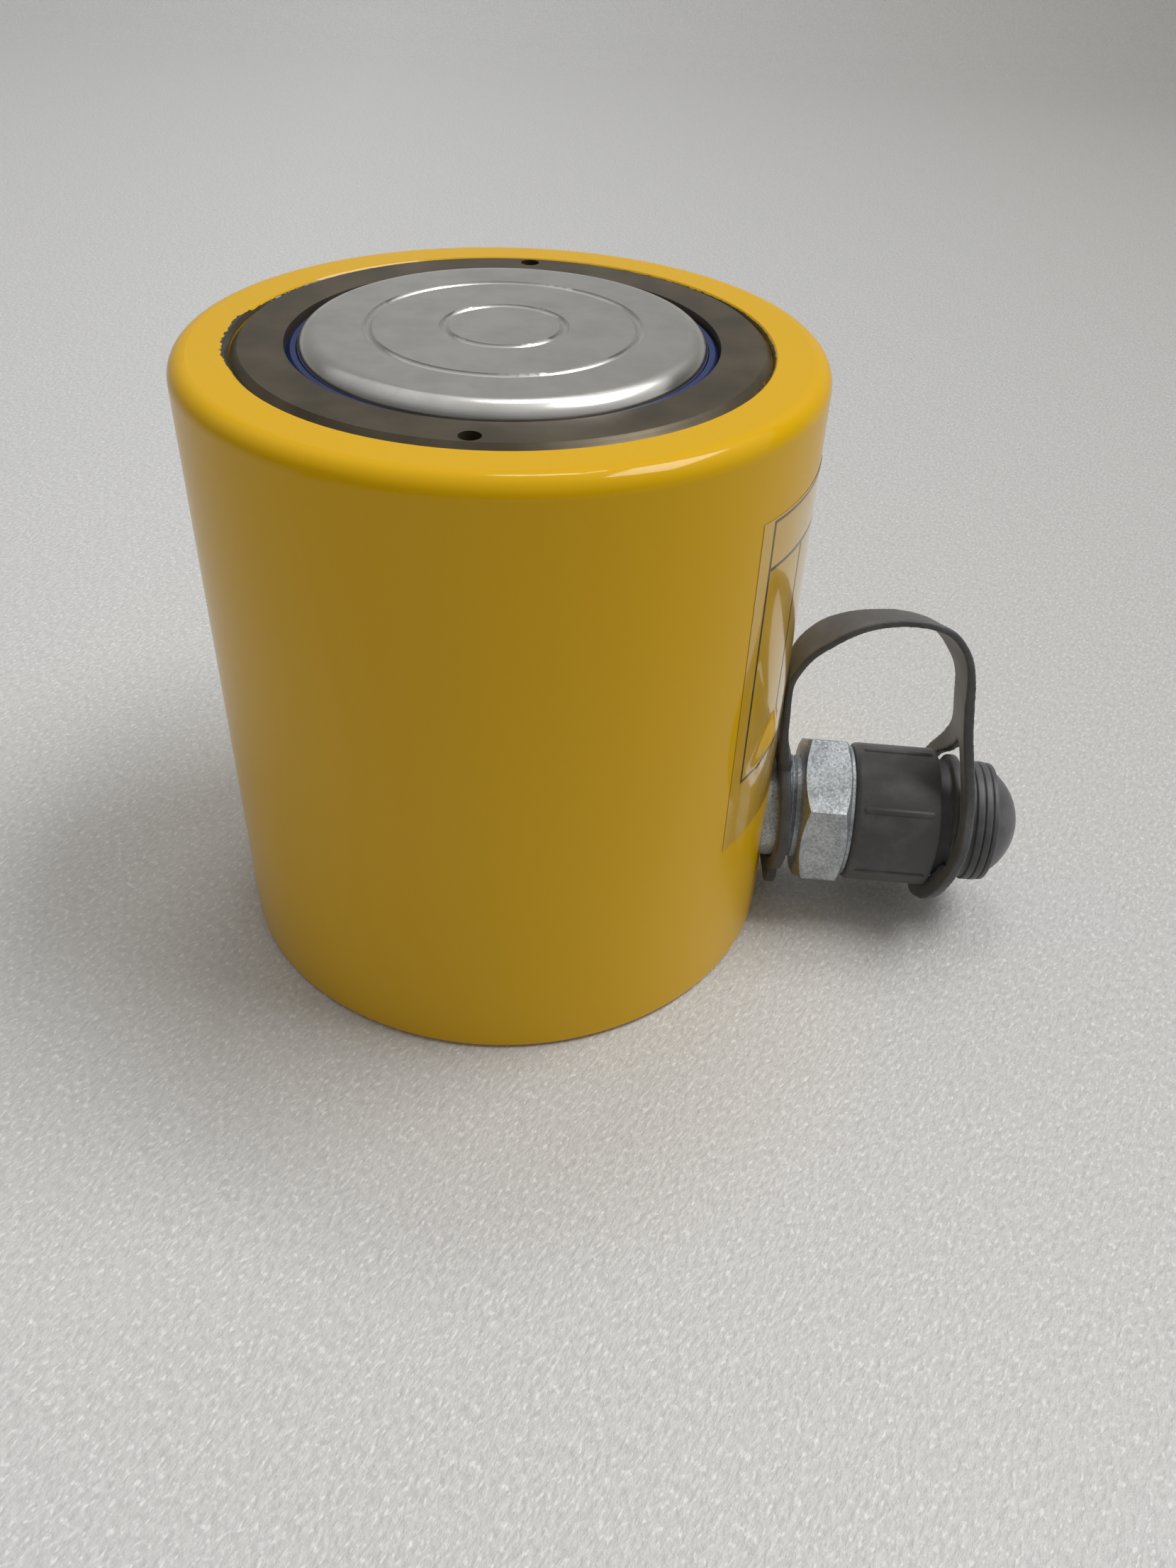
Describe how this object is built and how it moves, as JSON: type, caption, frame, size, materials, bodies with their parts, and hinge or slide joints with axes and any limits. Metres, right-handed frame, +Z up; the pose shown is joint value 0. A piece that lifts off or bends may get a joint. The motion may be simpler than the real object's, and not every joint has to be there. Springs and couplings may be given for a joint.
{
  "type": "hydraulic jack",
  "caption": "Low-height single-acting hydraulic cylinder jack with spring-return plunger, side hose coupler and a strapped rubber dust cap.",
  "frame": {"origin": "centre of the flat base, on the plunger's axis", "axes": "+Z up along the plunger, in its lifting direction; +X along the hose coupler, outwards; +Y completes the right-handed frame"},
  "size_m": [0.1485, 0.101, 0.1086],
  "materials": {
    "yellow_enamel": "thick glossy machine enamel, chipped at the mouth",
    "blackened_steel": "turned steel with a black oxide finish",
    "bronze": "turned bearing bronze",
    "blue_polyurethane": "moulded polyurethane",
    "plain_steel": "turned, oiled steel",
    "spring_steel": "drawn wire, oiled",
    "zinc_plated_steel": "turned steel with bright zinc plating",
    "black_nitrile": "moulded nitrile rubber",
    "moulded_rubber": "dull black moulded rubber",
    "hard_chrome": "ground hard chrome with fine turning marks on the end",
    "filled_nylon": "turned nylon",
    "polished_ball_steel": "lapped ball-bearing steel"
  },
  "bodies": {
    "cylinder": {"cylinder_body": "yellow_enamel", "stop_ring": "blackened_steel", "guide_bush": "bronze", "wiper_seal": "blue_polyurethane", "spring_anchor_lower": "plain_steel", "return_spring": "spring_steel", "coupler_body": "zinc_plated_steel", "valve_seat": "zinc_plated_steel", "ball_spring": "spring_steel", "socket_seal": "black_nitrile", "seal_retainer": "zinc_plated_steel", "strap_neck_ring": "moulded_rubber", "strap_band": "moulded_rubber"},
    "ram": {"plunger": "hard_chrome", "piston_bearing": "filled_nylon", "backup_ring": "filled_nylon", "piston_seal": "blue_polyurethane", "seal_washer": "plain_steel", "seal_clip": "spring_steel", "spring_anchor_upper": "plain_steel"},
    "ball": {"check_ball": "polished_ball_steel"},
    "cap_ring": {"strap_cap_ring": "moulded_rubber"},
    "cap": {"dust_cap": "moulded_rubber"}
  },
  "joints": [
    {"name": "plunger_slide", "type": "slide", "parent": "cylinder", "child": "ram", "axis": [0, 0, 1], "range_m": [0, 0.05], "stiffness_N_per_m": 3000, "springref_m": -0.01, "deforming": ["return_spring"]},
    {"name": "ball_slide", "type": "slide", "parent": "cylinder", "child": "ball", "axis": [-1, 0, 0], "range_m": [0, 0.0025], "stiffness_N_per_m": 200, "springref_m": -0.003, "deforming": ["ball_spring"]},
    {"name": "cap_slide", "type": "slide", "parent": "cylinder", "child": "cap_ring", "axis": [1, 0, 0], "range_m": [0, 0.017], "deforming": ["strap_band"]},
    {"name": "cap_twist", "type": "hinge", "parent": "cap_ring", "child": "cap", "pos_m": [0.08, 0, 0.0196], "axis": [1, 0, 0], "continuous": true}
  ]
}
